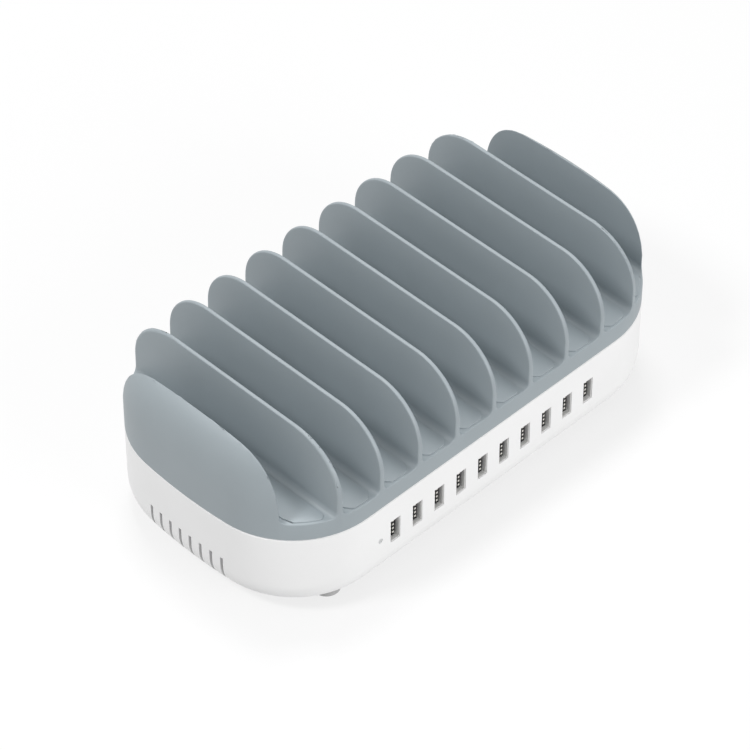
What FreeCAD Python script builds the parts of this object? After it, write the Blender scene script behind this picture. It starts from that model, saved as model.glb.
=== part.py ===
import FreeCAD, Part
import math
import os

# Charging station organizer: a grey slotted rack closed onto a white powered base.
# Millimetres, +Z up. The origin is on the table under the middle of the body.
# The row of USB sockets faces -Y. The mains inlet and its switch face +Y.

V = FreeCAD.Vector
X_AXIS = V(1, 0, 0)
Y_AXIS = V(0, 1, 0)
Z_AXIS = V(0, 0, 1)
RIGHT_ANGLE = 90.0
OVERCUT = 1.0           # how far a cutter passes the face it opens, and a post sinks into its floor

# Plan outline of the body, the same for the base and the rack where they meet.
HALF_LENGTH = 128.2
HALF_WIDTH = 68.4
CORNER_ROUND = 46.5
END_BOW = 283.0         # radius of the slightly bowed ends

# Heights
BASE_BOTTOM_Z = 6.0
BASE_HEIGHT = 42.3
SKIRT_HEIGHT = 10.0     # from the seam up to the slot floors
FIN_HEIGHT = 37.1       # from the slot floors up to the top of the fins

# Mouldings
WALL = 2.4
BASE_FLOOR = 2.4
BASE_ROUND_IN = 8.0    # the bottom edge rounds off like a quarter ellipse
BASE_ROUND_UP = 13.0
DECK = 2.4
RIM_BEVEL = 0.6         # along the top of the base
SEAM_GAP = 0.4          # shadow gap between the rack's skirt and the base
SEAM_GAP_DEPTH = 0.8
TAB_COUNT = 4           # locating tabs of the rack inside each long wall of the base
TAB_WIDE = 9.0
TAB_THICK = 1.6
TAB_DEPTH = 3.0         # below the seam
FIT_CLEARANCE = 0.15    # between a piece and the cut-out it drops into

# Rack
SLOT_COUNT = 10
END_ROOM = 9.7          # from the last slot's pitch line to the end
FIN_TIP = 2.0
FIN_ROOT = 3.0
SLOT_ROUND = 3.0        # between a slot floor and its fins
SIDE_ROUND = 26.0       # round of the fins' upper corners
END_ROUND_IN = 14.5     # the end walls bow in like a quarter ellipse
END_ROUND_UP = 31.5
END_PEAK_OVER = 0.3     # how far that ellipse would pass the top of the fins
END_SWEEP = 45.0        # degrees of each corner that the end walls follow
TRAY_DEPTH = 0.5        # shallow tray sunk in each slot floor
TRAY_MARGIN = 1.3       # its distance from the front and back of the skirt
TRAY_BEVEL = 3.0
CORE_HEIGHT = 16.0      # how far the end walls are hollowed above the slot floors
RIB_THICK = 1.6
RIB_DEPTH = 4.0
RIB_SHARE = 0.32        # of the half width
RIB_END_ROOM = 36.0

# USB sockets, standing on edge
PORT_COUNT = 10
PORT_ROOM = 17.7        # from the last socket to where the front starts to turn into the corner
PORT_RISE = 22.8        # socket centre above the bottom of the base
SOCKET_WIDE = 5.9       # along the row
SOCKET_TALL = 13.1
SOCKET_DEEP = 14.2
SOCKET_SHEET = 0.3
SOCKET_SETBACK = 0.5    # socket mouth behind the base wall
WINDOW_CLEARANCE = 0.1
TONGUE_THICK = 1.84
TONGUE_TALL = 11.1
TONGUE_OFFSET = 0.61    # tongue centre beside the socket centre
TONGUE_SETBACK = 1.6    # tongue tip behind the socket mouth
INSULATOR_BACK = 4.6
CONTACT_COUNT = 4
CONTACT_PITCH = 2.4
CONTACT_WIDE = 1.0
CONTACT_THICK = 0.25
CONTACT_SETBACK = 0.4   # contact tip behind the tongue tip

# Indicator
LIGHT_BESIDE = 9.3      # from the first socket
LIGHT_DROP = 0.9        # below the socket centres
LIGHT_RADIUS = 1.2
LIGHT_HOLE_CLEARANCE = 0.1
LIGHT_REACH = 9.0       # from the wall back to the turned-down leg
LIGHT_LEG_HALF = 1.5
LIGHT_LEG_BEVEL = 2.2
LED_SIZE = (3.2, 2.6, 0.8)

# Vents in both ends
VENT_COUNT = 8
VENT_PITCH = 6.55
VENT_WIDE = 1.7
VENT_TOP_RISE = 18.0    # above the bottom of the base
VENT_FOOT_RISE = 1.6
VENT_CUT_DEPTH = 8.5

# Feet
FOOT_RADIUS = 6.5
FOOT_MARGIN = 0.2       # from the rounded bottom edge
FOOT_TURN = 72.0        # degrees round the corner, from the end towards the side

# Screws and the posts that take them
PILLAR_FROM_END = 24.2
PILLAR_FROM_SIDE = 38.4
PILLAR_RADIUS = 3.8
BOARD_POST_RADIUS = 3.4
SCREW_RADIUS = 1.3
SCREW_HEAD_RADIUS = 2.8
SCREW_HEAD_HEIGHT = 2.0
CASE_SCREW_REACH = 12.0
BOARD_SCREW_REACH = 8.0
PILOT_CLEARANCE = 0.05
SHANK_CLEARANCE = 0.3
PILOT_EXTRA = 2.0       # pilot bore past the tip of a screw

# Circuit board
BOARD_THICK = 1.6
BOARD_END_ROOM = 42.2   # from its ends and sides to the outside of the base
BOARD_FRONT_ROOM = 4.8
BOARD_BACK_ROOM = 26.4
BOARD_HOLE_IN = 5.0     # from the board's ends
LEDGE_IN = 8.0
LEDGE_FRONT_IN = 19.6   # from the board's front and back edges
LEDGE_BACK_IN = 6.0
LEDGE_LONG = 8.0
LEDGE_THICK = 1.8

# Rear panel, a sunk pocket that holds the inlet and the switch
PANEL_END_ROOM = 12.7   # from where the back starts to turn into the corner
PANEL_RISE_SHARE = 0.591  # pocket centre, as a share of the base's height
PANEL_LONG = 60.0
PANEL_TALL = 23.0
PANEL_ROUND = 4.0
PANEL_SINK = 4.0

# Mains inlet
INLET_OFFSET = 14.0     # from the middle of the panel
PIN_PITCH = 8.6
PIN_RADIUS = 1.18
PIN_SETBACK = 2.6       # pin tip behind the flange
PIN_TAIL = 5.0
INLET_ROUND = 4.15      # end radius of the socket hollow
INLET_DEPTH = 12.4
INLET_WALL = 1.6
INLET_BODY_DEPTH = 15.0
INLET_FLANGE = 2.0      # flange width around the body
INLET_FLANGE_THICK = 1.6

# Rocker switch
SWITCH_OFFSET = -16.0   # from the middle of the panel
SWITCH_OPEN_WIDE = 10.6
SWITCH_OPEN_TALL = 17.2
SWITCH_WALL = 1.1
SWITCH_FLANGE = 1.2     # flange width around the body
SWITCH_FLANGE_THICK = 1.8
SWITCH_BODY_DEPTH = 12.0
SWITCH_WELL_DEPTH = 8.0
ROCKER_SIDE_CLEARANCE = 0.3
ROCKER_HALF_TALL = 7.6
ROCKER_CREST = 4.0      # ends of the rocker face above its pivot
ROCKER_VALLEY = 3.0     # middle of the rocker face above its pivot
ROCKER_SHOULDER = 1.0
ROCKER_KEEL_HALF = 4.0
ROCKER_KEEL_DROP = 3.5
ROCKER_TILT = 8.0       # degrees each side of the middle
PIVOT_SINK = 1.2        # pivot behind the panel
PIVOT_RADIUS = 1.0
PIVOT_CLEARANCE = 0.08
PIVOT_REACH = 0.9
BLADE_WIDE = 4.8
BLADE_THICK = 0.8
BLADE_REACH = 6.0
BLADE_RISE = 3.0        # blades above and below the switch centre

# Power parts: each place is a share of the board's half length and half depth from its middle
FUSE_SHARES = (0.256, 0.773)
FUSE_SIZE = (8.5, 4.0, 8.0)
X_CAP_SHARES = (0.558, 0.773)
X_CAP_SIZE = (18.0, 8.0, 14.0)
CHOKE_SHARES = (0.814, 0.545)
CHOKE_WIDE = 20.0
CHOKE_TALL = 18.0
CHOKE_DEEP = 7.0
CHOKE_LEG = 6.0
CHOKE_YOKE = 3.0
CHOKE_BULGE = 4.0
COIL_CLEARANCE = 0.15
BRIDGE_SHARES = (0.465, 0.508)
BRIDGE_SIZE = (20.0, 3.6, 17.0)
BRIDGE_LIFT = 3.0
BRIDGE_LEG = 1.0
BRIDGE_LEG_PITCH = 5.0
BULK_SHARES = (0.721, -0.023)
BULK_RADIUS = 9.0
BULK_RISE_SHARE = 0.843
OUTPUT_CAP_SHARES = ((-0.488, -0.667), (0.0, -0.667), (0.488, -0.667))
OUTPUT_CAP_RADIUS = 4.0
OUTPUT_CAP_HEIGHT = 13.0
TRANSFORMER_SHARES = (0.0, 0.053)
CORE_WIDE = 34.0
CORE_RISE_SHARE = 0.91  # of the height between the board and the rack's ribs
CORE_DEEP = 11.0
CORE_LEG = 10.0         # middle leg; the outer legs are half of it
CORE_YOKE = 5.0
COIL_BULGE = 6.4        # how far the coil stands out of the core, front and back
SINK_SHARES = (0.395, 0.015)
SINK_LENGTH = 36.0
SINK_PLATE = 2.6
SINK_FIN = 1.4
SINK_FIN_REACH = 7.0
SINK_FIN_COUNT = 6
SINK_RISE_SHARE = 0.775
TRANSISTOR_TAB = (1.3, 10.0, 15.5)
TRANSISTOR_BODY = (3.2, 10.0, 9.0)
TRANSISTOR_LIFT = 4.0
TRANSISTOR_LEG = 0.9
TRANSISTOR_LEG_PITCH = 2.54
LINK_WIDE = 3.0
LINK_THICK = 0.8
LINK_LANDING = 4.0      # where links meet the board, in from its back edge

# Worked out from the sizes above. A corner arc of the plan starts at FLAT_HALF
# and meets the bowed end END_TURN degrees off the middle.
BOW_X = HALF_LENGTH - END_BOW
FLAT_HALF = BOW_X + math.sqrt((END_BOW - CORNER_ROUND) ** 2 - (HALF_WIDTH - CORNER_ROUND) ** 2)
CORNER_Y = HALF_WIDTH - CORNER_ROUND
END_TURN = math.degrees(math.atan2(CORNER_Y, FLAT_HALF - BOW_X))
FOOT_REACH = CORNER_ROUND - BASE_ROUND_IN - FOOT_MARGIN - FOOT_RADIUS
FOOT_X = FLAT_HALF + FOOT_REACH * math.cos(math.radians(FOOT_TURN))
FOOT_Y = CORNER_Y + FOOT_REACH * math.sin(math.radians(FOOT_TURN))
PILLAR_X = HALF_LENGTH - PILLAR_FROM_END
PILLAR_Y = HALF_WIDTH - PILLAR_FROM_SIDE
PANEL_X = FLAT_HALF - PANEL_LONG / 2 - PANEL_END_ROOM
INLET_X = PANEL_X + INLET_OFFSET
SWITCH_X = PANEL_X + SWITCH_OFFSET
SEAM_Z = BASE_BOTTOM_Z + BASE_HEIGHT
DECK_Z = SEAM_Z + SKIRT_HEIGHT
DECK_UNDER_Z = DECK_Z - DECK
TOP_Z = DECK_Z + FIN_HEIGHT
FLOOR_Z = BASE_BOTTOM_Z + BASE_FLOOR
PORT_Z = BASE_BOTTOM_Z + PORT_RISE
TAB_FACE_Y = HALF_WIDTH - WALL - FIT_CLEARANCE
BOARD_TOP_Z = PORT_Z - SOCKET_TALL / 2
BOARD_HALF_LENGTH = HALF_LENGTH - BOARD_END_ROOM
BOARD_FRONT_Y = BOARD_FRONT_ROOM - HALF_WIDTH
BOARD_BACK_Y = HALF_WIDTH - BOARD_BACK_ROOM
BOARD_MID_Y = (BOARD_FRONT_Y + BOARD_BACK_Y) / 2
BOARD_ROOM = DECK_UNDER_Z - RIB_DEPTH - BOARD_TOP_Z
BOARD_UNDER_Z = BOARD_TOP_Z - BOARD_THICK
PILLAR_FOOT_Z = FLOOR_Z + FIT_CLEARANCE
PANEL_Z = BASE_BOTTOM_Z + PANEL_RISE_SHARE * BASE_HEIGHT
PANEL_Y = HALF_WIDTH - PANEL_SINK
PANEL_INNER_Y = PANEL_Y - WALL
FRONT_Y = -HALF_WIDTH
SOCKET_MOUTH_Y = FRONT_Y + SOCKET_SETBACK
SOCKET_BACK_Y = SOCKET_MOUTH_Y + SOCKET_DEEP
TONGUE_TIP_Y = SOCKET_MOUTH_Y + TONGUE_SETBACK
LIGHT_Z = PORT_Z - LIGHT_DROP
SLOT_PITCH = 2 * (HALF_LENGTH - END_ROOM) / SLOT_COUNT
SLOT_XS = [(i - (SLOT_COUNT - 1) / 2) * SLOT_PITCH for i in range(SLOT_COUNT)]
PORT_PITCH = 2 * (FLAT_HALF - PORT_ROOM) / (PORT_COUNT - 1)
PORT_XS = [(i - (PORT_COUNT - 1) / 2) * PORT_PITCH for i in range(PORT_COUNT)]
LIGHT_X = PORT_XS[0] - LIGHT_BESIDE
CORNERS = [(sx, sy) for sx in (-1, 1) for sy in (-1, 1)]
BOARD_HOLES = [(sx * (BOARD_HALF_LENGTH - BOARD_HOLE_IN), BOARD_MID_Y) for sx in (-1, 1)]

parts = {}


def box(low, high):
    """Box between two opposite corners."""
    low, high = V(*low), V(*high)
    size = high - low
    return Part.makeBox(size.x, size.y, size.z, low)


def block(centre_xy, foot_z, size):
    """Box of a given size standing on height foot_z over a point."""
    x, y = centre_xy
    wide, deep, tall = size
    return box((x - wide / 2, y - deep / 2, foot_z), (x + wide / 2, y + deep / 2, foot_z + tall))


def rod(radius, start, end):
    """Round bar between two points."""
    start, end = V(*start), V(*end)
    return Part.makeCylinder(radius, (end - start).Length, start, end - start)


def on_board(shares):
    """Point on the board at shares of its half length and half depth from its middle."""
    return shares[0] * BOARD_HALF_LENGTH, BOARD_MID_Y + shares[1] * (BOARD_BACK_Y - BOARD_MID_Y)


def face_of(points):
    """Flat face inside a closed run of straight lines."""
    corners = [V(*p) for p in points]
    return Part.Face(Part.makePolygon(corners + corners[:1]))


def rounded(shape, radius, along):
    """Shape with every straight edge parallel to a direction rounded."""
    edges = [e for e in shape.Edges if is_along(e, along)]
    return shape.makeFillet(radius, edges)


def is_along(edge, direction):
    """Whether an edge runs straight in a direction or against it."""
    chord = edge.Vertexes[-1].Point - edge.Vertexes[0].Point
    return abs(abs(chord.dot(direction)) - edge.Length) < 1e-6


def edges_at_height(shape, z):
    """Edges that lie in the level plane at height z."""
    return [e for e in shape.Edges if abs(e.BoundBox.ZMin - z) < 1e-6 and abs(e.BoundBox.ZMax - z) < 1e-6]


def outline(z, inset):
    """Closed plan outline at height z, moved in all round."""
    x, y = FLAT_HALF, CORNER_Y
    corner, bow = CORNER_ROUND - inset, END_BOW - inset
    turn = math.radians(END_TURN)
    half_turn = (turn + math.pi / 2) / 2
    flat = (x, y + corner)
    shoulder = (x + corner * math.cos(half_turn), y + corner * math.sin(half_turn))
    join = (x + corner * math.cos(turn), y + corner * math.sin(turn))
    tip = (BOW_X + bow, 0)

    def at(point, sx, sy):
        return V(sx * point[0], sy * point[1], z)

    edges = []
    for side in (1, -1):
        edges.append(Part.makeLine(at(flat, -side, -side), at(flat, side, -side)))
        for points in (
            (at(flat, side, -side), at(shoulder, side, -side), at(join, side, -side)),
            (at(join, side, -side), at(tip, side, 0), at(join, side, side)),
            (at(join, side, side), at(shoulder, side, side), at(flat, side, side)),
        ):
            edges.append(Part.Arc(*points).toShape())
    return Part.Wire(edges)


def plan_prism(inset, low_z, high_z):
    """Upright prism of the plan outline, moved in by inset."""
    return Part.Face(outline(low_z, inset)).extrude(V(0, 0, high_z - low_z))


def quarter_ellipse(centre, across, up):
    """Quarter of an ellipse in the XZ plane, from above or below its centre to its +X end."""
    upright, level = centre + V(0, 0, up), centre + V(across, 0, 0)
    if abs(up) > across:
        return Part.Ellipse(upright, level, centre).toShape(0, math.pi / 2)
    return Part.Ellipse(level, upright, centre).toShape(0, math.pi / 2)


def closed_face(curve, points):
    """Face between a curve and straight lines through points from its last end to its first."""
    first, last = curve.Vertexes[0].Point, curve.Vertexes[-1].Point
    if (last - points[0]).Length > (first - points[0]).Length:
        first, last = last, first
    return Part.Face(Part.Wire([curve] + Part.makePolygon([last] + points + [first]).Edges))


def carried_round_end(section, sweep):
    """Section at the middle of the +X end carried round the end and on into both corners."""
    bow_centre = V(BOW_X, 0, 0)
    front = section.rotated(bow_centre, Z_AXIS, -END_TURN)
    back = section.rotated(bow_centre, Z_AXIS, END_TURN)
    return [
        front.revolve(bow_centre, Z_AXIS, 2 * END_TURN),
        front.revolve(V(FLAT_HALF, -CORNER_Y, 0), Z_AXIS, -sweep),
        back.revolve(V(FLAT_HALF, CORNER_Y, 0), Z_AXIS, sweep),
    ]


def end_block():
    """The bowed +X end of the rack, its outer face like a quarter ellipse."""
    inner_x = HALF_LENGTH - END_ROUND_IN
    bend_z = TOP_Z + END_PEAK_OVER - END_ROUND_UP
    brow = quarter_ellipse(V(inner_x, 0, bend_z), END_ROUND_IN, END_ROUND_UP)
    section = closed_face(brow, [V(HALF_LENGTH, 0, SEAM_Z), V(inner_x, 0, SEAM_Z)])
    pieces = carried_round_end(section, END_SWEEP)
    return pieces[0].fuse(pieces[1:])


def bottom_edge_cutter():
    """What the rounding of the base's bottom edge takes off, all round the outline."""
    corner_turn = RIGHT_ANGLE - END_TURN
    inner_x = HALF_LENGTH - BASE_ROUND_IN
    round_z = BASE_BOTTOM_Z + BASE_ROUND_UP
    curve = quarter_ellipse(V(inner_x, 0, round_z), BASE_ROUND_IN, -BASE_ROUND_UP)
    out_x, under_z = HALF_LENGTH + OVERCUT, BASE_BOTTOM_Z - OVERCUT
    section = closed_face(curve, [V(out_x, 0, round_z), V(out_x, 0, under_z), V(inner_x, 0, under_z)])
    pieces = carried_round_end(section, corner_turn)
    pieces += [piece.mirror(V(0, 0, 0), X_AXIS) for piece in pieces]
    join = section.rotated(V(BOW_X, 0, 0), Z_AXIS, END_TURN)
    side = join.rotated(V(FLAT_HALF, CORNER_Y, 0), Z_AXIS, corner_turn)
    strip = side.extrude(V(-2 * FLAT_HALF, 0, 0))
    pieces += [strip, strip.mirror(V(0, 0, 0), Y_AXIS)]
    return pieces[0].fuse(pieces[1:])


def rack_form():
    """Outer form of the rack before its slots: a loaf between two bowed ends."""
    loaf = plan_prism(0, SEAM_Z, TOP_Z)
    loaf = loaf.makeFillet(SIDE_ROUND, edges_at_height(loaf, TOP_Z))
    middle_x = SLOT_XS[-1]
    loaf = loaf.common(box((-middle_x, -HALF_WIDTH, SEAM_Z), (middle_x, HALF_WIDTH, TOP_Z)))
    right = end_block()
    left = right.mirror(V(0, 0, 0), X_AXIS)
    return plan_prism(0, SEAM_Z, DECK_Z).fuse([loaf, right, left]).removeSplitter()


def slot_cutter(x):
    """U-shaped slot right through the rack at x, wider at its top by the fins' draft."""
    over_z = TOP_Z + OVERCUT
    floor_half = (SLOT_PITCH - FIN_ROOT) / 2
    lean = (FIN_ROOT - FIN_TIP) / 2 / FIN_HEIGHT
    over_half = floor_half + lean * (over_z - DECK_Z)
    y = -HALF_WIDTH - OVERCUT
    profile = face_of([
        (x - floor_half, y, DECK_Z),
        (x + floor_half, y, DECK_Z),
        (x + over_half, y, over_z),
        (x - over_half, y, over_z),
    ])
    solid = profile.extrude(V(0, -2 * y, 0))
    bottom = [e for e in solid.Edges if is_along(e, Y_AXIS) and abs(e.CenterOfMass.z - DECK_Z) < 1e-6]
    return solid.makeFillet(SLOT_ROUND, bottom)


def tray_cutter(x):
    """Shallow tray in the flat of a slot floor, ending short of the skirt."""
    half = (SLOT_PITCH - FIN_ROOT) / 2 - SLOT_ROUND
    strip = box((x - half, -HALF_WIDTH, DECK_Z - TRAY_DEPTH), (x + half, HALF_WIDTH, DECK_Z + OVERCUT))
    tray = strip.common(plan_prism(TRAY_MARGIN, DECK_Z - TRAY_DEPTH, DECK_Z + OVERCUT)).Solids[0]
    corners = [e for e in tray.Edges if is_along(e, Z_AXIS) and abs(abs(e.CenterOfMass.x - x) - half) < 1e-6]
    return tray.makeChamfer(TRAY_BEVEL, corners)


def rack_hollow():
    """Space under the deck and up inside the end walls, open at the seam."""
    inner_x = SLOT_XS[-1] + (SLOT_PITCH - FIN_ROOT) / 2 + WALL
    room = plan_prism(WALL, SEAM_Z, DECK_Z + CORE_HEIGHT)
    return room.cut(box((-inner_x, -HALF_WIDTH, DECK_UNDER_Z), (inner_x, HALF_WIDTH, TOP_Z)))


def seam_ring():
    """Ring taken off the foot of the skirt for the shadow gap."""
    whole = plan_prism(-OVERCUT, SEAM_Z, SEAM_Z + SEAM_GAP)
    return whole.cut(plan_prism(SEAM_GAP_DEPTH, SEAM_Z, SEAM_Z + SEAM_GAP))


def top_rack():
    form = rack_form()
    form = form.cut(seam_ring())
    rack = form.cut([slot_cutter(x) for x in SLOT_XS])
    rack = rack.cut([tray_cutter(x) for x in SLOT_XS])
    rack = rack.cut(rack_hollow())

    rib_half = HALF_LENGTH - RIB_END_ROOM
    tab_pitch = 2 * FLAT_HALF / TAB_COUNT
    additions = []
    for sy in (-1, 1):
        y = sy * RIB_SHARE * HALF_WIDTH
        low = (-rib_half, y - RIB_THICK / 2, DECK_UNDER_Z - RIB_DEPTH)
        high = (rib_half, y + RIB_THICK / 2, DECK_UNDER_Z)
        additions.append(box(low, high))
        near_y, far_y = sorted((sy * TAB_FACE_Y, sy * (TAB_FACE_Y - TAB_THICK)))
        for i in range(TAB_COUNT):
            x = (i - (TAB_COUNT - 1) / 2) * tab_pitch
            low = (x - TAB_WIDE / 2, near_y, SEAM_Z - TAB_DEPTH)
            additions.append(box(low, (x + TAB_WIDE / 2, far_y, DECK_UNDER_Z)))
    for sx, sy in CORNERS:
        x, y = sx * PILLAR_X, sy * PILLAR_Y
        additions.append(rod(PILLAR_RADIUS, (x, y, PILLAR_FOOT_Z), (x, y, DECK_UNDER_Z)))
    rack = rack.fuse(additions)
    pilots = []
    for sx, sy in CORNERS:
        x, y = sx * PILLAR_X, sy * PILLAR_Y
        top = BASE_BOTTOM_Z + CASE_SCREW_REACH + PILOT_EXTRA
        pilots.append(rod(SCREW_RADIUS + PILOT_CLEARANCE, (x, y, PILLAR_FOOT_Z), (x, y, top)))
    return rack.cut(pilots).removeSplitter()


def stadium(x, z, half_span, radius, low_y, high_y):
    """Prism along Y with two round ends side by side in X."""
    top, bottom = z + radius, z - radius
    left, right = x - half_span, x + half_span
    edges = [
        Part.makeLine(V(left, low_y, bottom), V(right, low_y, bottom)),
        Part.Arc(V(right, low_y, bottom), V(right + radius, low_y, z), V(right, low_y, top)).toShape(),
        Part.makeLine(V(right, low_y, top), V(left, low_y, top)),
        Part.Arc(V(left, low_y, top), V(left - radius, low_y, z), V(left, low_y, bottom)).toShape(),
    ]
    return Part.Face(Part.Wire(edges)).extrude(V(0, high_y - low_y, 0))


def panel_block(grow, low_y, high_y):
    """Rounded block of the rear panel's outline, grown all round."""
    long_half, tall_half = PANEL_LONG / 2 + grow, PANEL_TALL / 2 + grow
    low = (PANEL_X - long_half, low_y, PANEL_Z - tall_half)
    high = (PANEL_X + long_half, high_y, PANEL_Z + tall_half)
    return rounded(box(low, high), PANEL_ROUND + grow, Y_AXIS)


def vent_cutter(sx, y):
    """One upright vent cut in from an end."""
    low_x, high_x = sorted((sx * (HALF_LENGTH - VENT_CUT_DEPTH), sx * (HALF_LENGTH + OVERCUT)))
    low = (low_x, y - VENT_WIDE / 2, BASE_BOTTOM_Z + VENT_FOOT_RISE)
    return box(low, (high_x, y + VENT_WIDE / 2, BASE_BOTTOM_Z + VENT_TOP_RISE))


def base_cutters():
    """Everything that opens the base wall: windows, light hole, vents and panel cut-outs."""
    out_y = -HALF_WIDTH - OVERCUT
    in_y = -HALF_WIDTH + 2 * WALL
    cutters = []
    wide = SOCKET_WIDE / 2 + WINDOW_CLEARANCE
    tall = SOCKET_TALL / 2 + WINDOW_CLEARANCE
    for x in PORT_XS:
        window = box((x - wide, out_y, PORT_Z - tall), (x + wide, in_y, PORT_Z + tall))
        cutters.append(window)
    light = LIGHT_RADIUS + LIGHT_HOLE_CLEARANCE
    cutters.append(rod(light, (LIGHT_X, out_y, LIGHT_Z), (LIGHT_X, in_y, LIGHT_Z)))
    for sx in (-1, 1):
        for i in range(VENT_COUNT):
            cutters.append(vent_cutter(sx, (i - (VENT_COUNT - 1) / 2) * VENT_PITCH))
    cutters.append(panel_block(0, PANEL_Y, HALF_WIDTH + OVERCUT))
    cutters.append(inlet_block(INLET_WALL + FIT_CLEARANCE, PANEL_INNER_Y - OVERCUT, PANEL_Y + OVERCUT))
    cutters.append(switch_block(SWITCH_WALL + FIT_CLEARANCE, PANEL_INNER_Y - OVERCUT, PANEL_Y + OVERCUT))
    return cutters


def base_shell():
    outer = plan_prism(0, BASE_BOTTOM_Z, SEAM_Z)
    outer = outer.makeChamfer(RIM_BEVEL, edges_at_height(outer, SEAM_Z))
    outer = outer.cut(bottom_edge_cutter())
    inner = plan_prism(WALL, FLOOR_Z, SEAM_Z)
    round_middle = (1 - math.sqrt(0.5)) * (BASE_ROUND_IN + BASE_ROUND_UP)
    inner_bevel = round_middle + (math.sqrt(2) - 1) * WALL - BASE_FLOOR
    inner = inner.makeChamfer(inner_bevel, edges_at_height(inner, FLOOR_Z))
    shell = outer.cut(inner)

    additions = [panel_block(WALL, PANEL_INNER_Y, PANEL_Y + WALL / 2).common(outer)]
    for x, y in BOARD_HOLES:
        additions.append(rod(BOARD_POST_RADIUS, (x, y, FLOOR_Z - OVERCUT), (x, y, BOARD_UNDER_Z)))
    ledge_size = (LEDGE_THICK, LEDGE_LONG, BOARD_UNDER_Z - FLOOR_Z + OVERCUT)
    for sx in (-1, 1):
        for y in (BOARD_FRONT_Y + LEDGE_FRONT_IN, BOARD_BACK_Y - LEDGE_BACK_IN):
            additions.append(block((sx * (BOARD_HALF_LENGTH - LEDGE_IN), y), FLOOR_Z - OVERCUT, ledge_size))
    shell = shell.fuse(additions)

    holes = base_cutters()
    for sx, sy in CORNERS:
        x, y = sx * PILLAR_X, sy * PILLAR_Y
        holes.append(rod(SCREW_RADIUS + SHANK_CLEARANCE, (x, y, 0), (x, y, FLOOR_Z + OVERCUT)))
    for x, y in BOARD_HOLES:
        pilot_z = BOARD_TOP_Z - BOARD_SCREW_REACH - PILOT_EXTRA
        holes.append(rod(SCREW_RADIUS + PILOT_CLEARANCE, (x, y, pilot_z), (x, y, BOARD_UNDER_Z + OVERCUT)))
    return shell.cut(holes).removeSplitter()


def foot(sx, sy):
    """Rubber pad stuck under the flat of the base."""
    x, y = sx * FOOT_X, sy * FOOT_Y
    return rod(FOOT_RADIUS, (x, y, 0), (x, y, BASE_BOTTOM_Z))


def usb_shell(x):
    """Folded sheet sleeve of one socket, open at its mouth."""
    wide, tall = SOCKET_WIDE / 2, SOCKET_TALL / 2
    outer = box((x - wide, SOCKET_MOUTH_Y, PORT_Z - tall), (x + wide, SOCKET_BACK_Y, PORT_Z + tall))
    wide, tall = wide - SOCKET_SHEET, tall - SOCKET_SHEET
    low = (x - wide, SOCKET_MOUTH_Y - OVERCUT, PORT_Z - tall)
    high = (x + wide, SOCKET_BACK_Y + OVERCUT, PORT_Z + tall)
    return outer.cut(box(low, high))


def usb_insulator(x):
    """Moulded back of one socket with the tongue that carries the contacts."""
    wide = SOCKET_WIDE / 2 - SOCKET_SHEET
    tall = SOCKET_TALL / 2 - SOCKET_SHEET
    back_y = SOCKET_BACK_Y - INSULATOR_BACK
    back = box((x - wide, back_y, PORT_Z - tall), (x + wide, SOCKET_BACK_Y, PORT_Z + tall))
    mid = x + TONGUE_OFFSET
    low = (mid - TONGUE_THICK / 2, TONGUE_TIP_Y, PORT_Z - TONGUE_TALL / 2)
    high = (mid + TONGUE_THICK / 2, back_y + OVERCUT, PORT_Z + TONGUE_TALL / 2)
    return back.fuse(box(low, high)).removeSplitter()


def usb_contacts(x):
    """Contact strips on the tongue of one socket."""
    face_x = x + TONGUE_OFFSET - TONGUE_THICK / 2
    strips = []
    for i in range(CONTACT_COUNT):
        z = PORT_Z + (i - (CONTACT_COUNT - 1) / 2) * CONTACT_PITCH
        low = (face_x - CONTACT_THICK, TONGUE_TIP_Y + CONTACT_SETBACK, z - CONTACT_WIDE / 2)
        high = (face_x, SOCKET_BACK_Y - INSULATOR_BACK, z + CONTACT_WIDE / 2)
        strips.append(box(low, high))
    return Part.makeCompound(strips)


def main_board():
    low = (-BOARD_HALF_LENGTH, BOARD_FRONT_Y, BOARD_UNDER_Z)
    high = (BOARD_HALF_LENGTH, BOARD_BACK_Y, BOARD_TOP_Z)
    board = box(low, high)
    radius = SCREW_RADIUS + SHANK_CLEARANCE
    return board.cut([rod(radius, (x, y, BOARD_UNDER_Z), (x, y, BOARD_TOP_Z)) for x, y in BOARD_HOLES])


def screw(x, y, seat_z, way, reach):
    """Pan-head screw whose head sits on height seat_z and whose shank runs up (+1) or down (-1)."""
    shank = rod(SCREW_RADIUS, (x, y, seat_z), (x, y, seat_z + way * reach))
    head = rod(SCREW_HEAD_RADIUS, (x, y, seat_z), (x, y, seat_z - way * SCREW_HEAD_HEIGHT))
    return head.fuse(shank)


def light_pipe():
    """Clear guide from the light on the board to the front wall."""
    back_y = FRONT_Y + LIGHT_REACH
    tip = rod(LIGHT_RADIUS, (LIGHT_X, FRONT_Y, LIGHT_Z), (LIGHT_X, back_y, LIGHT_Z))
    low = (LIGHT_X - LIGHT_LEG_HALF, back_y - LIGHT_LEG_HALF, BOARD_TOP_Z + LED_SIZE[2])
    high = (LIGHT_X + LIGHT_LEG_HALF, back_y + LIGHT_LEG_HALF, LIGHT_Z + LIGHT_LEG_HALF)
    leg = box(low, high)
    level = [e for e in leg.Edges if is_along(e, X_AXIS)]
    slope = [e for e in level if e.CenterOfMass.y > back_y and e.CenterOfMass.z > LIGHT_Z]
    return leg.makeChamfer(LIGHT_LEG_BEVEL, slope).fuse(tip)


def status_led():
    return block((LIGHT_X, FRONT_Y + LIGHT_REACH), BOARD_TOP_Z, LED_SIZE)


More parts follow.
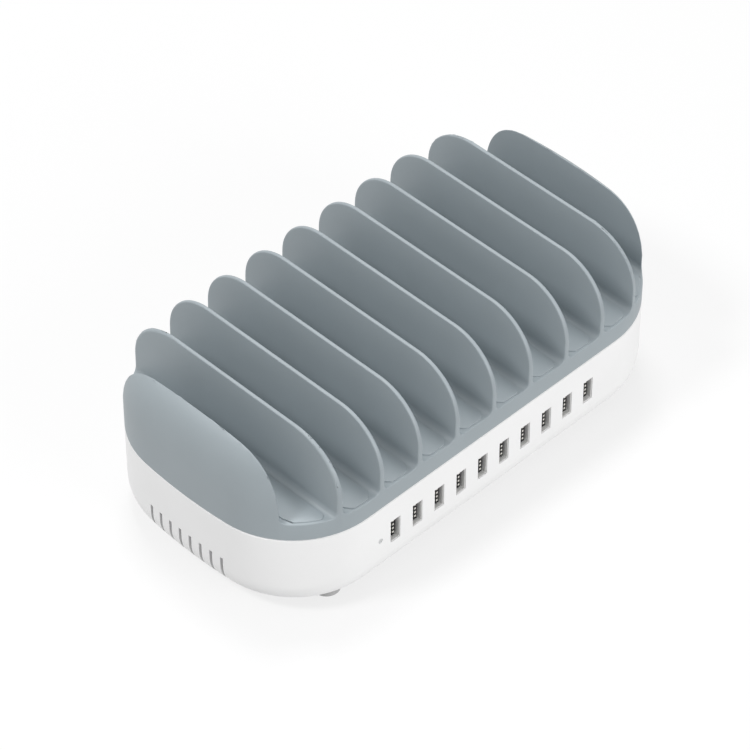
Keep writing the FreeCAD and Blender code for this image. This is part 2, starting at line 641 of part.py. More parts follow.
def inlet_block(grow, low_y, high_y):
    """Block round the inlet's hollow, grown all round."""
    half_wide = PIN_PITCH / 2 + INLET_ROUND + grow
    half_tall = INLET_ROUND + grow
    low = (INLET_X - half_wide, low_y, PANEL_Z - half_tall)
    high = (INLET_X + half_wide, high_y, PANEL_Z + half_tall)
    return box(low, high)


def ac_inlet_body():
    """Two-pin mains inlet: flange outside the panel, hollow body through it."""
    back_y = PANEL_Y - INLET_BODY_DEPTH
    front_y = PANEL_Y + INLET_FLANGE_THICK
    body = inlet_block(INLET_WALL, back_y, PANEL_Y)
    flange = rounded(inlet_block(INLET_WALL + INLET_FLANGE, PANEL_Y, front_y), INLET_FLANGE, Y_AXIS)
    hollow = stadium(INLET_X, PANEL_Z, PIN_PITCH / 2, INLET_ROUND, front_y - INLET_DEPTH, front_y)
    bores = [rod(PIN_RADIUS, (x, back_y, PANEL_Z), (x, front_y, PANEL_Z)) for x in pin_xs()]
    return body.fuse(flange).cut([hollow] + bores)


def pin_xs():
    return (INLET_X - PIN_PITCH / 2, INLET_X + PIN_PITCH / 2)


def ac_inlet_pins():
    tip_y = PANEL_Y + INLET_FLANGE_THICK - PIN_SETBACK
    tail_y = PANEL_Y - INLET_BODY_DEPTH - PIN_TAIL
    pins = []
    for x in pin_xs():
        pins.append(rod(PIN_RADIUS, (x, tail_y, PANEL_Z), (x, tip_y, PANEL_Z)))
    return Part.makeCompound(pins)


def switch_block(grow, low_y, high_y):
    half_wide = SWITCH_OPEN_WIDE / 2 + grow
    half_tall = SWITCH_OPEN_TALL / 2 + grow
    low = (SWITCH_X - half_wide, low_y, PANEL_Z - half_tall)
    return box(low, (SWITCH_X + half_wide, high_y, PANEL_Z + half_tall))


def switch_housing():
    back_y = PANEL_Y - SWITCH_BODY_DEPTH
    front_y = PANEL_Y + SWITCH_FLANGE_THICK
    flange = rounded(switch_block(SWITCH_WALL + SWITCH_FLANGE, PANEL_Y, front_y), SWITCH_FLANGE, Y_AXIS)
    housing = switch_block(SWITCH_WALL, back_y, PANEL_Y).fuse(flange)
    housing = housing.cut(switch_block(0, PANEL_Y - SWITCH_WELL_DEPTH, front_y + OVERCUT))
    reach = SWITCH_OPEN_WIDE / 2 + SWITCH_WALL + OVERCUT
    pivot_y = PANEL_Y - PIVOT_SINK
    radius = PIVOT_RADIUS + PIVOT_CLEARANCE
    return housing.cut(rod(radius, (SWITCH_X - reach, pivot_y, PANEL_Z), (SWITCH_X + reach, pivot_y, PANEL_Z)))


def switch_rocker():
    """Dished rocker on two stub pivots, tipped to its off side."""
    half_wide = SWITCH_OPEN_WIDE / 2 - ROCKER_SIDE_CLEARANCE
    x = SWITCH_X - half_wide
    y = PANEL_Y - PIVOT_SINK

    def at(out, up):
        return V(x, y + out, PANEL_Z + up)

    top, bottom = at(ROCKER_CREST, ROCKER_HALF_TALL), at(ROCKER_CREST, -ROCKER_HALF_TALL)
    dish = Part.Arc(top, at(ROCKER_VALLEY, 0), bottom)
    keel = Part.makePolygon([
        bottom,
        at(ROCKER_SHOULDER, -ROCKER_HALF_TALL),
        at(-ROCKER_KEEL_DROP, -ROCKER_KEEL_HALF),
        at(-ROCKER_KEEL_DROP, ROCKER_KEEL_HALF),
        at(ROCKER_SHOULDER, ROCKER_HALF_TALL),
        top,
    ])
    rocker = Part.Face(Part.Wire([dish.toShape()] + keel.Edges)).extrude(V(2 * half_wide, 0, 0))
    reach = SWITCH_OPEN_WIDE / 2 + PIVOT_REACH
    rocker = rocker.fuse(rod(PIVOT_RADIUS, (SWITCH_X - reach, y, PANEL_Z), (SWITCH_X + reach, y, PANEL_Z)))
    rocker.rotate(V(SWITCH_X, y, PANEL_Z), X_AXIS, -ROCKER_TILT)
    return rocker


def blade_zs():
    return (PANEL_Z - BLADE_RISE, PANEL_Z + BLADE_RISE)


def switch_terminals():
    back_y = PANEL_Y - SWITCH_BODY_DEPTH
    blades = []
    for z in blade_zs():
        low = (SWITCH_X - BLADE_WIDE / 2, back_y - BLADE_REACH, z - BLADE_THICK / 2)
        high = (SWITCH_X + BLADE_WIDE / 2, back_y, z + BLADE_THICK / 2)
        blades.append(box(low, high))
    return Part.makeCompound(blades)


def link_down(x, y, z):
    """Flat strip from a terminal's end straight forward, then down to the board."""
    board_y = BOARD_BACK_Y - LINK_LANDING
    low_x, high_x = x - LINK_WIDE / 2, x + LINK_WIDE / 2
    top_z = z + LINK_THICK / 2
    level = box((low_x, board_y, top_z - LINK_THICK), (high_x, y, top_z))
    drop = box((low_x, board_y, BOARD_TOP_Z), (high_x, board_y + LINK_THICK, top_z))
    return level.fuse(drop).removeSplitter()


def mains_links():
    """Strips from the inlet to the switch and from both to the board."""
    tail_y = PANEL_Y - INLET_BODY_DEPTH - PIN_TAIL
    blade_y = PANEL_Y - SWITCH_BODY_DEPTH - BLADE_REACH
    near_x, far_x = pin_xs()
    low_z, high_z = blade_zs()
    low_y, high_y = min(tail_y, blade_y) - LINK_THICK, min(tail_y, blade_y)
    half = LINK_WIDE / 2
    across = box((SWITCH_X - half, low_y, PANEL_Z - half), (near_x + half, high_y, PANEL_Z + half))
    riser = box((SWITCH_X - half, low_y, PANEL_Z), (SWITCH_X + half, blade_y, high_z + LINK_THICK / 2))
    return Part.makeCompound([
        link_down(far_x, tail_y, PANEL_Z),
        link_down(SWITCH_X, blade_y, low_z),
        across.fuse(riser).removeSplitter(),
    ])


def fuse():
    """Boxed fuse with leads into the board."""
    return block(on_board(FUSE_SHARES), BOARD_TOP_Z, FUSE_SIZE)


def x_capacitor():
    return block(on_board(X_CAP_SHARES), BOARD_TOP_Z, X_CAP_SIZE)


def bridge_rectifier():
    x, y = on_board(BRIDGE_SHARES)
    body = block((x, y), BOARD_TOP_Z + BRIDGE_LIFT, BRIDGE_SIZE)
    for i in range(4):
        leg_x = x + (i - 1.5) * BRIDGE_LEG_PITCH
        body = body.fuse(block((leg_x, y), BOARD_TOP_Z, (BRIDGE_LEG, BRIDGE_LEG, BRIDGE_LIFT)))
    return body.removeSplitter()


def can_capacitor(place, radius, height):
    x, y = on_board(place)
    return rod(radius, (x, y, BOARD_TOP_Z), (x, y, BOARD_TOP_Z + height))


def output_capacitors():
    cans = [can_capacitor(place, OUTPUT_CAP_RADIUS, OUTPUT_CAP_HEIGHT) for place in OUTPUT_CAP_SHARES]
    return Part.makeCompound(cans)


def closed_core(at, wide, deep, tall, leg, yoke):
    """Two E-shaped ferrites closed into one frame; the outer legs are half as wide as the middle one."""
    x, y = at
    core = block(at, BOARD_TOP_Z, (wide, deep, tall))
    window = (wide - 2 * leg) / 2
    for sx in (-1, 1):
        mid_x = x + sx * (leg + window) / 2
        core = core.cut(block((mid_x, y), BOARD_TOP_Z + yoke, (window, deep + 2 * OVERCUT, tall - 2 * yoke)))
    return core


def coil_in_core(at, wide, deep, tall, leg, yoke, bulge):
    """Taped coil round the middle leg of such a core, standing out in front and behind."""
    size = (wide - leg - 2 * COIL_CLEARANCE, deep + 2 * bulge, tall - 2 * yoke)
    bore = (leg + 2 * COIL_CLEARANCE, deep + 2 * COIL_CLEARANCE, tall - 2 * yoke)
    coil = block(at, BOARD_TOP_Z + yoke, size)
    return coil.cut(block(at, BOARD_TOP_Z + yoke, bore))


def heat_sink(sx):
    """Extruded comb, its flat side towards the middle of the board."""
    middle_x, middle_y = on_board(SINK_SHARES)
    face_x = sx * middle_x
    plate_x = face_x + sx * SINK_PLATE
    tip_x = plate_x + sx * SINK_FIN_REACH
    pitch = (SINK_LENGTH - SINK_FIN) / (SINK_FIN_COUNT - 1)
    start_y = middle_y - SINK_LENGTH / 2
    points = [(face_x, start_y + SINK_LENGTH, BOARD_TOP_Z), (face_x, start_y, BOARD_TOP_Z)]
    for i in range(SINK_FIN_COUNT):
        y = start_y + i * pitch
        points += [(tip_x, y, BOARD_TOP_Z), (tip_x, y + SINK_FIN, BOARD_TOP_Z)]
        if i < SINK_FIN_COUNT - 1:
            points += [(plate_x, y + SINK_FIN, BOARD_TOP_Z), (plate_x, y + pitch, BOARD_TOP_Z)]
    return face_of(points).extrude(V(0, 0, SINK_RISE_SHARE * BOARD_ROOM))


def power_transistor(sx):
    """Tabbed power transistor flat against its heat sink."""
    sink_x, sink_y = on_board(SINK_SHARES)
    tab_x = sx * (sink_x - TRANSISTOR_TAB[0] / 2)
    body_x = sx * (sink_x - TRANSISTOR_TAB[0] - TRANSISTOR_BODY[0] / 2)
    foot_z = BOARD_TOP_Z + TRANSISTOR_LIFT
    solid = block((tab_x, sink_y), foot_z, TRANSISTOR_TAB)
    solid = solid.fuse(block((body_x, sink_y), foot_z, TRANSISTOR_BODY))
    for i in (-1, 0, 1):
        y = sink_y + i * TRANSISTOR_LEG_PITCH
        solid = solid.fuse(block((body_x, y), BOARD_TOP_Z, (TRANSISTOR_LEG, TRANSISTOR_LEG, TRANSISTOR_LIFT)))
    return solid.removeSplitter()


def case_screws():
    places = [(sx * PILLAR_X, sy * PILLAR_Y) for sx, sy in CORNERS]
    return Part.makeCompound([screw(x, y, BASE_BOTTOM_Z, 1, CASE_SCREW_REACH) for x, y in places])


def board_screws():
    return Part.makeCompound([screw(x, y, BOARD_TOP_Z, -1, BOARD_SCREW_REACH) for x, y in BOARD_HOLES])


parts["top_rack"] = top_rack()
parts["base_shell"] = base_shell()
for number, (sx, sy) in enumerate(CORNERS, 1):
    parts[f"foot_{number}"] = foot(sx, sy)
for number, x in enumerate(PORT_XS, 1):
    parts[f"usb_shell_{number:02d}"] = usb_shell(x)
    parts[f"usb_insulator_{number:02d}"] = usb_insulator(x)
    parts[f"usb_contacts_{number:02d}"] = usb_contacts(x)
parts["main_board"] = main_board()
parts["light_pipe"] = light_pipe()
parts["status_led"] = status_led()
parts["ac_inlet_body"] = ac_inlet_body()
parts["ac_inlet_pins"] = ac_inlet_pins()
parts["switch_housing"] = switch_housing()
parts["switch_rocker"] = switch_rocker()
parts["switch_terminals"] = switch_terminals()
parts["mains_links"] = mains_links()
parts["fuse"] = fuse()
parts["x_capacitor"] = x_capacitor()
choke_sizes = (on_board(CHOKE_SHARES), CHOKE_WIDE, CHOKE_DEEP, CHOKE_TALL, CHOKE_LEG, CHOKE_YOKE)
parts["choke_core"] = closed_core(*choke_sizes)
parts["choke_winding"] = coil_in_core(*choke_sizes, CHOKE_BULGE)
parts["bridge_rectifier"] = bridge_rectifier()
parts["bulk_capacitor"] = can_capacitor(BULK_SHARES, BULK_RADIUS, BULK_RISE_SHARE * BOARD_ROOM)
parts["output_capacitors"] = output_capacitors()
core_tall = CORE_RISE_SHARE * BOARD_ROOM
transformer_sizes = (on_board(TRANSFORMER_SHARES), CORE_WIDE, CORE_DEEP, core_tall, CORE_LEG, CORE_YOKE)
parts["transformer_core"] = closed_core(*transformer_sizes)
parts["transformer_winding"] = coil_in_core(*transformer_sizes, COIL_BULGE)
for number, sx in enumerate((-1, 1), 1):
    parts[f"heat_sink_{number}"] = heat_sink(sx)
    parts[f"power_transistor_{number}"] = power_transistor(sx)
parts["case_screws"] = case_screws()
parts["board_screws"] = board_screws()

os.makedirs("parts", exist_ok=True)
for node, shape in parts.items():
    shape.exportStep(f"parts/{node}.step")
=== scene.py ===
import bmesh
import bpy
import math
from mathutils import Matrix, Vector


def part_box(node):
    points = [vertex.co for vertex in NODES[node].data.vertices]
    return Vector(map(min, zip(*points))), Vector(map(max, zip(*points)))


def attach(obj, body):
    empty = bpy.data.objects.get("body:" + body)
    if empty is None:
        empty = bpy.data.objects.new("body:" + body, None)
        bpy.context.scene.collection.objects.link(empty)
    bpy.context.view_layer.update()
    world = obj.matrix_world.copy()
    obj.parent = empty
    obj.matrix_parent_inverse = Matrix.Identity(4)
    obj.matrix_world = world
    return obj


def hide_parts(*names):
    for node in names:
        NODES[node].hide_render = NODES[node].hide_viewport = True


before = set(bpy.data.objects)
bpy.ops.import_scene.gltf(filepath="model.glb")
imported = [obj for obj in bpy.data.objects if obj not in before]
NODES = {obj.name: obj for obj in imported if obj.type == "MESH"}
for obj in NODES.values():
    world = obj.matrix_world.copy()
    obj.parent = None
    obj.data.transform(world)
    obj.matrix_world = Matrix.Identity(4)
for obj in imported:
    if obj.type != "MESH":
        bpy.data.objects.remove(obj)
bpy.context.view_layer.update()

# Charging station organizer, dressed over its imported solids. Metres, in the solids' own frame.
SOCKET_COUNT = 10
FOOT_COUNT = 4

# Camera of the photograph
CAMERA_AT = (-0.9312, -0.9296, 1.3084)
CAMERA_AIM = (0.5063, 0.5098, -0.6955)
CAMERA_REACH = 50.0
LENS_MM = 189.9
SENSOR_MM = 36.0

# Slot floors and rims of the rack
DECK_Z = 0.0583         # slot floors
TRAY_SINK = 0.0005      # depth of the solid's shallow tray in each of them
PAD_RISE = 0.0006       # height of the pad that stands in its place
TRAY_Z = DECK_Z - TRAY_SINK
PAD_Z = DECK_Z + PAD_RISE
RIM_ROUND = 0.0008
PAD_RIM_ROUND = 0.0003
ROUND_STEPS = 3
ROUND_PROFILE = 0.5     # an arc of a circle

# What counts as one point, height, face or edge
SAME_POINT = 1e-6
SAME_HEIGHT = 1e-5
SHARP_EDGE = math.radians(28)
FLAT_ANGLE = math.radians(0.4)      # facets that bend less are one face
FIN_END_ANGLE = math.radians(2)     # the same on the narrow ends of the fins
END_FACING = 0.9                    # how squarely those face front or back

# Contact ends in the tip of a socket's tongue
CONTACT_PITCH = 0.0024
CONTACT_END_TALL = 0.00106
CONTACT_END_WIDE = 0.00095
CONTACT_END_X = 0.00053     # beside the socket's middle
TIP_SKIN = 0.0001           # only the face of the tip is painted

# Textures, in waves per metre
CLOUD_WAVES = 40        # slow drift of a moulding's colour
GRAIN_WAVES = 2600      # grain of moulded plastic
STREAK_WAVES = 900      # working marks on metal
DUST_WAVES = 350
RUBBER_WAVES = 1800
HAZE_WAVES = 500        # inside the light guide
TRACK_WAVES = 160       # copper under the board's mask
TURN_WAVES = 420        # wire of a winding
NOISE_LOW = 0.3         # most of a noise lies between these two
NOISE_HIGH = 0.7
MASK_END = 0.52         # noise below this is plain mask on the board
TRACK_START = 0.56      # and above this a copper track
EVEN = (1, 1, 1)
DRAWN_ALONG_Y = (1, 0.1, 1)
DRAWN_ALONG_Z = (1, 1, 0.1)
TRACKS_ALONG_Y = (1, 0.15, 1)

# Finishes
PLASTIC_DRIFT = 0.06    # change of roughness either way
METAL_SMOOTHER = 0.08
METAL_ROUGHER = 0.10
METAL_SPREAD = 0.06
GUIDE_TRANSMISSION = 0.3
GUIDE_IOR = 1.49

# Studio
FLOOR_SIDE = 8.0
FLOOR_GREY = (0.25, 0.25, 0.25, 1)
FLOOR_GLOW = 0.305      # light of its own, which keeps shadows on the floor faint
FLOOR_LIFT = 0.39       # what the camera sees on top of that
SKY_WHITE = (1, 1, 1, 1)
SKY_LIGHT = 0.50        # on the object, while the camera sees full white
LAMP_TARGET = (0, 0, 0.05)
LAMPS = {
    # name: place, side, watts
    "key": ((-1.2, 0.4, 1.75), 0.45, 17.0),
    "front": ((0.15, -2.0, 0.7), 1.0, 19.5),
    "top": ((0.35, 0.6, 2.1), 0.6, 17.0),
}


def link(tree, start, end):
    tree.links.new(start, end)


def calc(tree, operation, *values):
    """Math node over plain numbers and the outputs of other nodes."""
    node = tree.nodes.new("ShaderNodeMath")
    node.operation = operation
    for entry, value in zip(node.inputs, values):
        if isinstance(value, bpy.types.NodeSocket):
            link(tree, value, entry)
        else:
            entry.default_value = value
    return node.outputs["Value"]


def shader(name):
    """New node material, its tree and its main shader."""
    material = bpy.data.materials.new(name)
    material.use_nodes = True
    tree = material.node_tree
    return material, tree, tree.nodes["Principled BSDF"]


def noise(tree, waves, detail, stretch=EVEN):
    """Noise over the piece's own coordinates."""
    place = tree.nodes.new("ShaderNodeTexCoord")
    mapping = tree.nodes.new("ShaderNodeMapping")
    mapping.inputs["Scale"].default_value = stretch
    texture = tree.nodes.new("ShaderNodeTexNoise")
    texture.inputs["Scale"].default_value = waves
    texture.inputs["Detail"].default_value = detail
    link(tree, place.outputs["Object"], mapping.inputs["Vector"])
    link(tree, mapping.outputs["Vector"], texture.inputs["Vector"])
    return texture.outputs["Fac"]


def two_tone(tree, main, value, *stops):
    """Base colour that goes from one stop to the other as a value rises. A stop is a value and a colour."""
    ramp = tree.nodes.new("ShaderNodeValToRGB")
    for element, (position, colour) in zip(ramp.color_ramp.elements, stops):
        element.position = position
        element.color = (*colour, 1)
    link(tree, value, ramp.inputs["Fac"])
    link(tree, ramp.outputs["Color"], main.inputs["Base Color"])


def mottle(tree, main, value, colour, spread):
    """Base colour that drifts a little either side of a colour."""
    darker = [c * (1 - spread) for c in colour]
    lighter = [min(1, c * (1 + spread)) for c in colour]
    two_tone(tree, main, value, (NOISE_LOW, darker), (NOISE_HIGH, lighter))


def vary_roughness(tree, main, value, low, high):
    span = tree.nodes.new("ShaderNodeMapRange")
    span.inputs["To Min"].default_value = low
    span.inputs["To Max"].default_value = high
    link(tree, value, span.inputs["Value"])
    link(tree, span.outputs["Result"], main.inputs["Roughness"])


def grain(tree, main, value, strength, depth):
    bump = tree.nodes.new("ShaderNodeBump")
    bump.inputs["Strength"].default_value = strength
    bump.inputs["Distance"].default_value = depth
    link(tree, value, bump.inputs["Height"])
    link(tree, bump.outputs["Normal"], main.inputs["Normal"])


def plastic(name, colour, roughness, spread=0.02, grain_depth=0.00002, shine=0.5):
    """Moulded plastic with a fine spark-eroded grain."""
    material, tree, main = shader(name)
    main.inputs["Specular IOR Level"].default_value = shine
    mottle(tree, main, noise(tree, CLOUD_WAVES, detail=3), colour, spread)
    fine = noise(tree, GRAIN_WAVES, detail=2)
    vary_roughness(tree, main, fine, roughness - PLASTIC_DRIFT, roughness + PLASTIC_DRIFT)
    grain(tree, main, fine, strength=0.35, depth=grain_depth)
    return material


def metal(name, colour, roughness, stretch=EVEN, metallic=1.0):
    """Bare metal, its roughness drawn out along the working direction."""
    material, tree, main = shader(name)
    main.inputs["Metallic"].default_value = metallic
    streaks = noise(tree, STREAK_WAVES, detail=4, stretch=stretch)
    mottle(tree, main, streaks, colour, METAL_SPREAD)
    vary_roughness(tree, main, streaks, roughness - METAL_SMOOTHER, roughness + METAL_ROUGHER)
    return material


def rubber(name, colour):
    """Dusty rubber with a fine grain."""
    material, tree, main = shader(name)
    dust = noise(tree, DUST_WAVES, detail=5)
    mottle(tree, main, dust, colour, spread=0.06)
    vary_roughness(tree, main, dust, low=0.62, high=0.80)
    grain(tree, main, noise(tree, RUBBER_WAVES, detail=3), strength=0.4, depth=0.00005)
    return material


def milky(name, colour):
    """Slightly milky clear plastic of the light guide."""
    material, tree, main = shader(name)
    main.inputs["Transmission Weight"].default_value = GUIDE_TRANSMISSION
    main.inputs["IOR"].default_value = GUIDE_IOR
    haze = noise(tree, HAZE_WAVES, detail=2)
    mottle(tree, main, haze, colour, spread=0.03)
    vary_roughness(tree, main, haze, low=0.22, high=0.34)
    return material


def laminate(name, mask, track):
    """Circuit board, its copper tracks showing faintly through the mask."""
    material, tree, main = shader(name)
    runs = noise(tree, TRACK_WAVES, detail=1, stretch=TRACKS_ALONG_Y)
    two_tone(tree, main, runs, (MASK_END, mask), (TRACK_START, track))
    vary_roughness(tree, main, runs, low=0.35, high=0.5)
    return material


def winding(name, colour):
    """Turns of enamelled wire under clear tape, drawn as fine bands."""
    material, tree, main = shader(name)
    place = tree.nodes.new("ShaderNodeTexCoord")
    bands = tree.nodes.new("ShaderNodeTexWave")
    bands.bands_direction = "Z"
    bands.inputs["Scale"].default_value = TURN_WAVES
    link(tree, place.outputs["Object"], bands.inputs["Vector"])
    turns = bands.outputs["Fac"]
    mottle(tree, main, turns, colour, spread=0.25)
    vary_roughness(tree, main, turns, low=0.30, high=0.5)
    grain(tree, main, turns, strength=0.6, depth=0.0002)
    return material


def contact_end_mask(tree, node):
    """1 on the contact ends in the tip of a socket's tongue, else 0. The node's box gives the scale."""
    low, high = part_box(node)
    wide, deep, tall = high - low
    place = tree.nodes.new("ShaderNodeTexCoord")
    share = tree.nodes.new("ShaderNodeSeparateXYZ")
    link(tree, place.outputs["Generated"], share.inputs["Vector"])
    tip = calc(tree, "LESS_THAN", share.outputs["Y"], TIP_SKIN / deep)
    middle = 1 / 2 + CONTACT_END_X / wide
    column = calc(tree, "COMPARE", share.outputs["X"], middle, CONTACT_END_WIDE / 2 / wide)
    pitches = tall / CONTACT_PITCH
    in_pitch = calc(tree, "FRACT", calc(tree, "MULTIPLY_ADD", share.outputs["Z"], pitches, -pitches / 2))
    row = calc(tree, "COMPARE", in_pitch, 1 / 2, CONTACT_END_TALL / 2 / CONTACT_PITCH)
    return calc(tree, "MULTIPLY", calc(tree, "MULTIPLY", tip, column), row)


def paint_contact_ends(material, colour, node):
    """Puts pale contact ends over the base colour of a socket's moulding."""
    tree = material.node_tree
    base = tree.nodes["Principled BSDF"].inputs["Base Color"]
    mix = tree.nodes.new("ShaderNodeMixRGB")
    mix.inputs["Color2"].default_value = (*colour, 1)
    link(tree, contact_end_mask(tree, node), mix.inputs["Fac"])
    link(tree, base.links[0].from_socket, mix.inputs["Color1"])
    link(tree, mix.outputs["Color"], base)


def dress(material, *names):
    """Gives CAD nodes a material in place of their plain one."""
    for name in names:
        slots = NODES[name].data.materials
        slots.clear()
        slots.append(material)


def sockets(stem):
    """Names of the nodes of one kind in all sockets."""
    return [f"{stem}_{number:02d}" for number in range(1, SOCKET_COUNT + 1)]


def dress_case():
    feet = [f"foot_{number}" for number in range(1, FOOT_COUNT + 1)]
    dress(plastic("rack_grey", (0.322, 0.366, 0.390), roughness=0.48), "top_rack")
    dress(plastic("base_white", (0.91, 0.91, 0.91), roughness=0.38, spread=0.01), "base_shell")
    dress(rubber("foot_rubber", (0.45, 0.45, 0.45)), *feet)
    dress(milky("light_guide", (0.80, 0.82, 0.82)), "light_pipe")
    dress(metal("screw_steel", (0.56, 0.56, 0.57), roughness=0.32), "case_screws", "board_screws")


def dress_sockets():
    steel = metal("socket_steel", (0.84, 0.84, 0.83), roughness=0.45, stretch=DRAWN_ALONG_Y, metallic=0.2)
    black = plastic("socket_black", (0.010, 0.010, 0.011), roughness=0.5, spread=0.1, shine=0.15)
    gold = metal("contact_gold", (0.90, 0.84, 0.70), roughness=0.35, metallic=0.5)
    insulators = sockets("usb_insulator")
    paint_contact_ends(black, (0.80, 0.78, 0.73), insulators[0])
    dress(steel, *sockets("usb_shell"))
    dress(black, *insulators)
    dress(gold, *sockets("usb_contacts"))


def dress_rear():
    black = plastic("black_plastic", (0.02, 0.02, 0.022), roughness=0.35, spread=0.1)
    rocker = plastic("rocker_black", (0.035, 0.035, 0.037), roughness=0.28, spread=0.08)
    brass = metal("brass_pins", (0.78, 0.66, 0.42), roughness=0.25)
    dress(black, "ac_inlet_body", "switch_housing")
    dress(rocker, "switch_rocker")
    dress(brass, "ac_inlet_pins", "switch_terminals", "mains_links")


def dress_board():
    """The board and the small moulded parts on it."""
    chip = plastic("moulded_chip", (0.03, 0.03, 0.03), roughness=0.5, spread=0.15)
    dress(laminate("board_laminate", (0.01, 0.09, 0.035), (0.03, 0.15, 0.05)), "main_board")
    dress(plastic("led_body", (0.80, 0.76, 0.55), roughness=0.3, spread=0.05), "status_led")
    dress(plastic("fuse_case", (0.05, 0.05, 0.05), roughness=0.4, spread=0.1), "fuse")
    dress(plastic("film_case", (0.60, 0.42, 0.05), roughness=0.35, spread=0.05), "x_capacitor")
    dress(chip, "power_transistor_1", "power_transistor_2", "bridge_rectifier")


def dress_power_parts():
    """The wound parts, cans and heat sinks on the board."""
    ferrite = plastic("ferrite", (0.05, 0.05, 0.055), roughness=0.6, spread=0.2, grain_depth=0.00006)
    cans = metal("can_aluminium", (0.70, 0.70, 0.72), roughness=0.35)
    sinks = metal("sink_aluminium", (0.55, 0.55, 0.57), roughness=0.4, stretch=DRAWN_ALONG_Z)
    dress(ferrite, "choke_core", "transformer_core")
    dress(winding("choke_turns", (0.45, 0.16, 0.05)), "choke_winding")
    dress(winding("transformer_turns", (0.55, 0.42, 0.08)), "transformer_winding")
    dress(cans, "bulk_capacitor", "output_capacitors")
    dress(sinks, "heat_sink_1", "heat_sink_2")


def smooth_shading():
    """Node group that shades a solid smooth and keeps its real edges sharp."""
    group = bpy.data.node_groups.new("smooth_shading", "GeometryNodeTree")
    group.interface.new_socket("Geometry", in_out="INPUT", socket_type="NodeSocketGeometry")
    group.interface.new_socket("Geometry", in_out="OUTPUT", socket_type="NodeSocketGeometry")
    enter = group.nodes.new("NodeGroupInput")
    leave = group.nodes.new("NodeGroupOutput")
    merge = group.nodes.new("GeometryNodeMergeByDistance")
    merge.inputs["Distance"].default_value = SAME_POINT
    smooth = group.nodes.new("GeometryNodeSetShadeSmooth")
    crease = group.nodes.new("GeometryNodeSetShadeSmooth")
    crease.domain = "EDGE"
    crease.inputs["Shade Smooth"].default_value = False
    angle = group.nodes.new("GeometryNodeInputMeshEdgeAngle")
    sharp = group.nodes.new("FunctionNodeCompare")
    sharp.operation = "GREATER_THAN"
    sharp.inputs[1].default_value = SHARP_EDGE
    link(group, enter.outputs[0], merge.inputs["Geometry"])
    link(group, merge.outputs["Geometry"], smooth.inputs["Geometry"])
    link(group, smooth.outputs["Geometry"], crease.inputs["Geometry"])
    link(group, angle.outputs["Unsigned Angle"], sharp.inputs[0])
    link(group, sharp.outputs["Result"], crease.inputs["Selection"])
    link(group, crease.outputs["Geometry"], leave.inputs[0])
    return group


def on_fin_end(edge):
    """Whether an edge lies between faces that look to the front or the back."""
    return all(abs(face.normal.y) > END_FACING for face in edge.link_faces)


def is_rim(edge):
    """Whether an edge is an outward corner of the rack at or above its slot floors."""
    if len(edge.link_faces) != 2:
        return False
    middle = (edge.verts[0].co.z + edge.verts[1].co.z) / 2
    return middle > DECK_Z - SAME_HEIGHT and edge.calc_face_angle_signed(0) > SHARP_EDGE


def is_pad_rim(edge):
    """Whether a rim runs round the top of one of the pads on the slot floors."""
    return all(abs(vert.co.z - PAD_Z) < SAME_HEIGHT for vert in edge.verts)


def join_facets(form):
    """Makes one face of each flat stretch, so that only real edges are left."""
    bmesh.ops.remove_doubles(form, verts=form.verts, dist=SAME_POINT)
    bmesh.ops.dissolve_limit(form, angle_limit=FLAT_ANGLE, verts=form.verts, edges=form.edges)
    fin_ends = [edge for edge in form.edges if on_fin_end(edge)]
    bmesh.ops.dissolve_limit(form, angle_limit=FIN_END_ANGLE, verts=form.verts, edges=fin_ends)


def raise_pads(form):
    """Lifts the tray of each slot floor until it stands up as a pad."""
    for vert in form.verts:
        if abs(vert.co.z - TRAY_Z) < SAME_HEIGHT:
            vert.co.z = PAD_Z
    form.normal_update()


def round_rims(form, of_pads, size):
    """Rounds the rims of the pads, or all the others."""
    rims = [edge for edge in form.edges if is_rim(edge) and is_pad_rim(edge) == of_pads]
    bmesh.ops.bevel(
        form, geom=rims, offset=size, segments=ROUND_STEPS, profile=ROUND_PROFILE, affect="EDGES"
    )


def rounded_rack():
    """The rack with its pads and the moulded rounding of its rims, which its solid leaves sharp."""
    mesh = NODES["top_rack"].data.copy()
    form = bmesh.new()
    form.from_mesh(mesh)
    join_facets(form)
    raise_pads(form)
    round_rims(form, of_pads=False, size=RIM_ROUND)
    round_rims(form, of_pads=True, size=PAD_RIM_ROUND)
    form.to_mesh(mesh)
    form.free()
    rack = bpy.data.objects.new("rack_body", mesh)
    bpy.context.scene.collection.objects.link(rack)
    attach(rack, "body")
    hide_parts("top_rack")
    return rack


def seen_by_eye(tree):
    """1 for rays from the camera and for mirror and glass rays, else 0."""
    path = tree.nodes.new("ShaderNodeLightPath")
    direct = calc(tree, "MAXIMUM", path.outputs["Is Camera Ray"], path.outputs["Is Glossy Ray"])
    return calc(tree, "MAXIMUM", direct, path.outputs["Is Transmission Ray"])


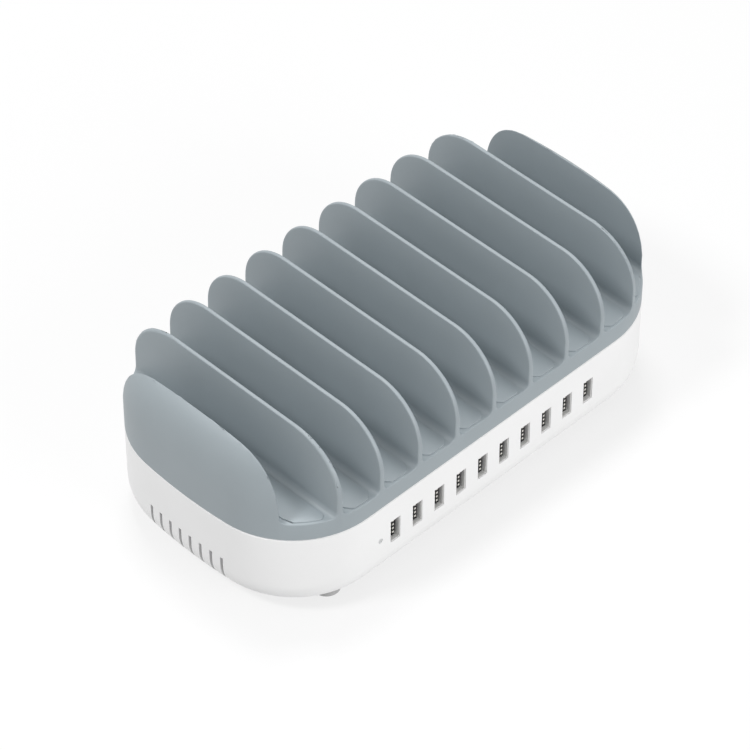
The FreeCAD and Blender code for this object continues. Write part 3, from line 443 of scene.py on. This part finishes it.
def floor():
    """Pale floor of the studio, which isn't part of the object."""
    bpy.ops.mesh.primitive_plane_add(size=FLOOR_SIDE)
    plane = bpy.context.object
    plane.name = "floor"
    material, tree, main = shader("floor")
    tree.nodes.remove(main)
    paper = tree.nodes.new("ShaderNodeBsdfDiffuse")
    paper.inputs["Color"].default_value = FLOOR_GREY
    glow = tree.nodes.new("ShaderNodeEmission")
    both = tree.nodes.new("ShaderNodeAddShader")
    strength = calc(tree, "MULTIPLY_ADD", seen_by_eye(tree), FLOOR_LIFT, FLOOR_GLOW)
    link(tree, strength, glow.inputs["Strength"])
    link(tree, paper.outputs["BSDF"], both.inputs[0])
    link(tree, glow.outputs["Emission"], both.inputs[1])
    link(tree, both.outputs["Shader"], tree.nodes["Material Output"].inputs["Surface"])
    plane.data.materials.append(material)


def sky():
    """Even light from all round."""
    world = bpy.data.worlds.new("studio")
    world.use_nodes = True
    tree = world.node_tree
    back = tree.nodes["Background"]
    back.inputs["Color"].default_value = SKY_WHITE
    strength = calc(tree, "MULTIPLY_ADD", seen_by_eye(tree), 1 - SKY_LIGHT, SKY_LIGHT)
    link(tree, strength, back.inputs["Strength"])
    bpy.context.scene.world = world


def put_in_scene(name, data, at, direction):
    """Puts a lamp or camera in the scene and turns it to look in a direction."""
    thing = bpy.data.objects.new(name, data)
    thing.location = at
    thing.rotation_euler = Vector(direction).to_track_quat("-Z", "Y").to_euler()
    bpy.context.scene.collection.objects.link(thing)
    return thing


def lamps():
    for name, (at, side, watts) in LAMPS.items():
        lamp = bpy.data.lights.new(name, "AREA")
        lamp.size = side
        lamp.energy = watts
        put_in_scene(name, lamp, at, Vector(LAMP_TARGET) - Vector(at))


def camera():
    lens = bpy.data.cameras.new("camera")
    lens.lens = LENS_MM
    lens.sensor_width = SENSOR_MM
    lens.clip_end = CAMERA_REACH
    bpy.context.scene.camera = put_in_scene("camera", lens, CAMERA_AT, CAMERA_AIM)


dress_case()
dress_sockets()
dress_rear()
dress_board()
dress_power_parts()

shading = smooth_shading()
for piece in [*NODES.values(), rounded_rack()]:
    piece.modifiers.new("shading", "NODES").node_group = shading

floor()
sky()
lamps()
camera()
bpy.context.scene.view_settings.view_transform = "Standard"
